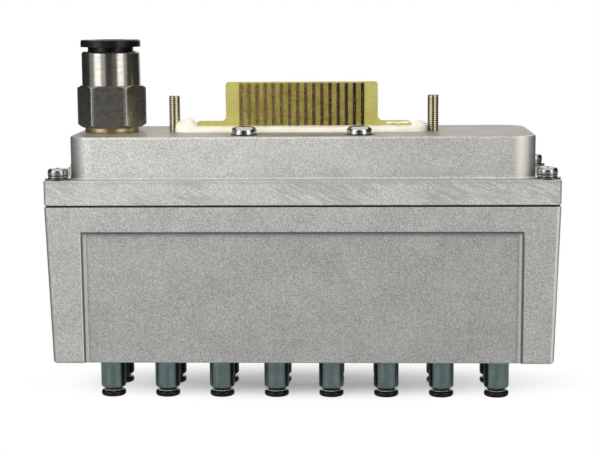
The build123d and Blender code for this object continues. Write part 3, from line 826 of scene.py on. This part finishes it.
def bead_height(x, y, edge):
    """The silicone's height at a place, given how near its edge that is, from 0 to 1."""
    crown = BEAD_HEIGHT * (1 - edge**7) ** 0.5
    skin = uneven(RIPPLE, (x, y, 0)) + uneven(WRINKLE, (x, y, WRINKLE_LEVEL))
    across = max(0.0, 1 - (y / HEAP_HALF_WIDTH) ** 2)
    left_heap = LEFT_HEAP * across * smooth((LEFT_HEAP_FROM - x) / LEFT_HEAP_RISE)
    peak_away = hypot((x - PEAK_PLACE[0]) / PEAK_REACH[0], (y - PEAK_PLACE[1]) / PEAK_REACH[1])
    peak = PEAK * max(0.0, 1 - peak_away)
    right_heap = RIGHT_HEAP * across * smooth((x - RIGHT_HEAP_FROM) / RIGHT_HEAP_RISE)
    right_heap *= 1 - RIGHT_HEAP_LOSS * smooth((x - RIGHT_HEAP_TOP) / RIGHT_HEAP_FALL)
    return crown + skin * (1 - edge**4) + (left_heap + peak + right_heap) * (1 - edge**8)


def bead(finish):
    """The silicone bead: smeared by hand round the board's foot, up to both studs."""
    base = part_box("top_cover")[1].z
    middle = (BEAD_LEFT + BEAD_RIGHT) / 2
    half_length = (BEAD_RIGHT - BEAD_LEFT) / 2

    def build(shape):
        upper, lower = [], []
        for row in range(BEAD_ROWS + 1):
            v = 2 * row / BEAD_ROWS - 1
            line_up, line_down = [], []
            for column in range(BEAD_COLUMNS + 1):
                u = 2 * column / BEAD_COLUMNS - 1
                from_end = (1 - abs(u)) * half_length
                edge = min(1.0, max(abs(v), 1 - from_end / BEAD_END))
                pull = 1 - BEAD_NARROWING * max(0.0, 1 - from_end / BEAD_HALF_WIDTH) ** 3
                wander = uneven(WANDER, (u * half_length, v, WANDER_LEVEL))
                x = middle + u * half_length * (1 - BEAD_ROUNDING * abs(v) ** 3)
                y = v * (BEAD_HALF_WIDTH * pull + wander)
                line_up.append(shape.verts.new((x, y, base + bead_height(x, y, edge))))
                line_down.append(shape.verts.new((x, y, base - BEAD_SUNK)))
            upper.append(line_up)
            lower.append(line_down)
        for row in range(BEAD_ROWS):
            for column in range(BEAD_COLUMNS):
                for grid in (upper, lower):
                    shape.faces.new((
                        grid[row][column], grid[row][column + 1],
                        grid[row + 1][column + 1], grid[row + 1][column],
                    ))
        for row in range(BEAD_ROWS):
            for column in (0, BEAD_COLUMNS):
                shape.faces.new((
                    upper[row][column], upper[row + 1][column],
                    lower[row + 1][column], lower[row][column],
                ))
        for column in range(BEAD_COLUMNS):
            for row in (0, BEAD_ROWS):
                shape.faces.new((
                    upper[row][column], upper[row][column + 1],
                    lower[row][column + 1], lower[row][column],
                ))

    piece = new_piece("sealing_bead", build, finish)
    for face in piece.data.polygons:
        face.use_smooth = True
    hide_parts("silicone_bead")


def make_camera():
    """The camera, turned as the photograph's was."""
    forward = Vector((
        sin(CAMERA_YAW) * cos(CAMERA_PITCH), cos(CAMERA_YAW) * cos(CAMERA_PITCH), -sin(CAMERA_PITCH)
    ))
    level = Vector((cos(CAMERA_YAW), -sin(CAMERA_YAW), 0))
    upright = level.cross(forward)
    right = level * cos(CAMERA_ROLL) + upright * sin(CAMERA_ROLL)
    up = upright * cos(CAMERA_ROLL) - level * sin(CAMERA_ROLL)
    data = bpy.data.cameras.new("camera")
    data.sensor_width = SENSOR_WIDTH
    data.lens = FOCAL_PIXELS / FRAME_PIXELS * SENSOR_WIDTH
    data.clip_start = NEAREST_SEEN
    data.clip_end = FARTHEST_SEEN
    camera = bpy.data.objects.new("camera", data)
    turn = Matrix((right, up, -forward)).transposed().to_4x4()
    camera.matrix_world = Matrix.Translation(Vector(CAMERA_PLACE)) @ turn
    bpy.context.scene.collection.objects.link(camera)
    bpy.context.scene.camera = camera


def around(azimuth, distance, height):
    """A place round the block: azimuth 0 is towards the camera, growing to the right."""
    a = radians(azimuth)
    return Vector((distance * sin(a), -distance * cos(a), height))


def lamp(name, place, width, tall, radiance):
    """A soft rectangular lamp that looks at the block and doesn't show in gloss."""
    data = bpy.data.lights.new(name, "AREA")
    data.shape = "RECTANGLE"
    data.size = width
    data.size_y = tall
    data.energy = radiance * pi * width * tall
    thing = bpy.data.objects.new(name, data)
    thing.location = place
    aim = Vector(LAMPS_AIM) - place
    thing.rotation_euler = aim.to_track_quat("-Z", "Y").to_euler()
    thing.visible_camera = False
    thing.visible_glossy = False
    bpy.context.scene.collection.objects.link(thing)


def upright_card(shape, first, last):
    """A curved upright wall between two azimuths."""
    strip = []
    for index in range(CARD_STEPS + 1):
        azimuth = first + (last - first) * index / CARD_STEPS
        strip.append([shape.verts.new(around(azimuth, CARD_RADIUS, z)) for z in (0.0, CARD_TOP)])
    for one, two in zip(strip, strip[1:]):
        shape.faces.new((one[0], two[0], two[1], one[1]))


def level_card(shape, height):
    """A flat disc over or under the block."""
    place = Matrix.Translation((0, 0, height))
    bmesh.ops.create_circle(
        shape, cap_ends=True, segments=DISC_SIDES, radius=CARD_RADIUS, matrix=place
    )


def new_material(name):
    """A bare node material, with its nodes, its links and the input that its surface goes to."""
    material = bpy.data.materials.new(name)
    material.use_nodes = True
    nodes, links = material.node_tree.nodes, material.node_tree.links
    nodes.clear()
    return material, nodes, links, nodes.new("ShaderNodeOutputMaterial").inputs["Surface"]


def stage_thing(name, shape, material):
    """An object of the studio, which isn't part of the block, from a bmesh."""
    mesh = bpy.data.meshes.new(name)
    shape.to_mesh(mesh)
    shape.free()
    mesh.materials.append(material)
    thing = bpy.data.objects.new(name, mesh)
    bpy.context.scene.collection.objects.link(thing)
    return thing


def card(name, glow, builder, *sizes):
    """A glowing or dark card that only shows in gloss, as a softbox or a black flag does."""
    shape = bmesh.new()
    builder(shape, *sizes)
    material, nodes, links, surface = new_material(name)
    light = nodes.new("ShaderNodeEmission")
    light.inputs["Color"].default_value = (glow, glow, glow, 1)
    links.new(light.outputs[0], surface)
    thing = stage_thing(name, shape, material)
    thing.visible_camera = False
    thing.visible_diffuse = False
    thing.visible_shadow = False
    thing.visible_transmission = False


def make_floor():
    """A pale floor that fades to plain white away from the block, and keeps its shadow."""
    material, nodes, links, surface = new_material("floor")
    paper = nodes.new("ShaderNodeBsdfDiffuse")
    paper.inputs["Color"].default_value = FLOOR_PAPER
    white = nodes.new("ShaderNodeEmission")
    place = nodes.new("ShaderNodeTexCoord")
    away = nodes.new("ShaderNodeVectorMath")
    away.operation = "LENGTH"
    squeeze = nodes.new("ShaderNodeMapping")
    squeeze.inputs["Location"].default_value = (0, -FLOOR_WHITE_CENTRE, 0)
    squeeze.inputs["Scale"].default_value = FLOOR_WHITE_STRETCH
    links.new(place.outputs["Object"], squeeze.inputs["Vector"])
    links.new(squeeze.outputs["Vector"], away.inputs[0])
    fade = nodes.new("ShaderNodeMapRange")
    fade.interpolation_type = "SMOOTHSTEP"
    fade.inputs[1].default_value = FLOOR_WHITE_FROM
    fade.inputs[2].default_value = FLOOR_WHITE_TO
    fade.inputs[3].default_value = FLOOR_LIFT
    fade.inputs[4].default_value = 1.0
    links.new(away.outputs["Value"], fade.inputs[0])
    path = nodes.new("ShaderNodeLightPath")
    share = nodes.new("ShaderNodeMath")
    share.operation = "MULTIPLY"
    links.new(fade.outputs[0], share.inputs[0])
    links.new(path.outputs["Is Camera Ray"], share.inputs[1])
    mix = nodes.new("ShaderNodeMixShader")
    links.new(share.outputs[0], mix.inputs[0])
    links.new(paper.outputs[0], mix.inputs[1])
    links.new(white.outputs[0], mix.inputs[2])
    links.new(mix.outputs[0], surface)
    shape = bmesh.new()
    bmesh.ops.create_grid(shape, x_segments=1, y_segments=1, size=FLOOR_SIZE)
    thing = stage_thing("floor", shape, material)


def make_world():
    """White for the camera and in gloss, and a plain soft level for the rest."""
    world = bpy.data.worlds.new("studio")
    bpy.context.scene.world = world
    world.use_nodes = True
    nodes, links = world.node_tree.nodes, world.node_tree.links
    nodes.clear()
    path = nodes.new("ShaderNodeLightPath")
    either = path.outputs["Is Camera Ray"]
    for kind in ("Is Glossy Ray", "Is Transmission Ray"):
        join = nodes.new("ShaderNodeMath")
        join.operation = "MAXIMUM"
        links.new(either, join.inputs[0])
        links.new(path.outputs[kind], join.inputs[1])
        either = join.outputs[0]
    level = nodes.new("ShaderNodeMapRange")
    links.new(either, level.inputs[0])
    level.inputs[3].default_value = AMBIENT
    level.inputs[4].default_value = 1.0
    sky = nodes.new("ShaderNodeBackground")
    sky.inputs["Color"].default_value = (1, 1, 1, 1)
    links.new(level.outputs[0], sky.inputs["Strength"])
    output = nodes.new("ShaderNodeOutputWorld")
    links.new(sky.outputs[0], output.inputs["Surface"])


def make_studio():
    """Floor, world, lamps and cards."""
    make_floor()
    make_world()
    for name, azimuth, distance, height, width, tall, radiance in LAMPS:
        lamp(name, around(azimuth, distance, height), width, tall, radiance)
    top = Vector((0, 0, TOP_LAMP_HEIGHT))
    lamp("lamp_top", top, TOP_LAMP_SIZE, TOP_LAMP_SIZE, TOP_LAMP_RADIANCE)
    for name, first, last, glow in CARDS:
        card(name, glow, upright_card, first, last)
    card("card_ceiling", CEILING_SHADE, level_card, CARD_TOP)
    card("card_table", TABLE_SHADE, level_card, TABLE_HEIGHT)
    bpy.context.scene.view_settings.view_transform = "Standard"


finishes = all_finishes()
dress_frame(finishes)
studs(finishes["stud_steel"])
bead(finishes["silicone"])
make_camera()
make_studio()
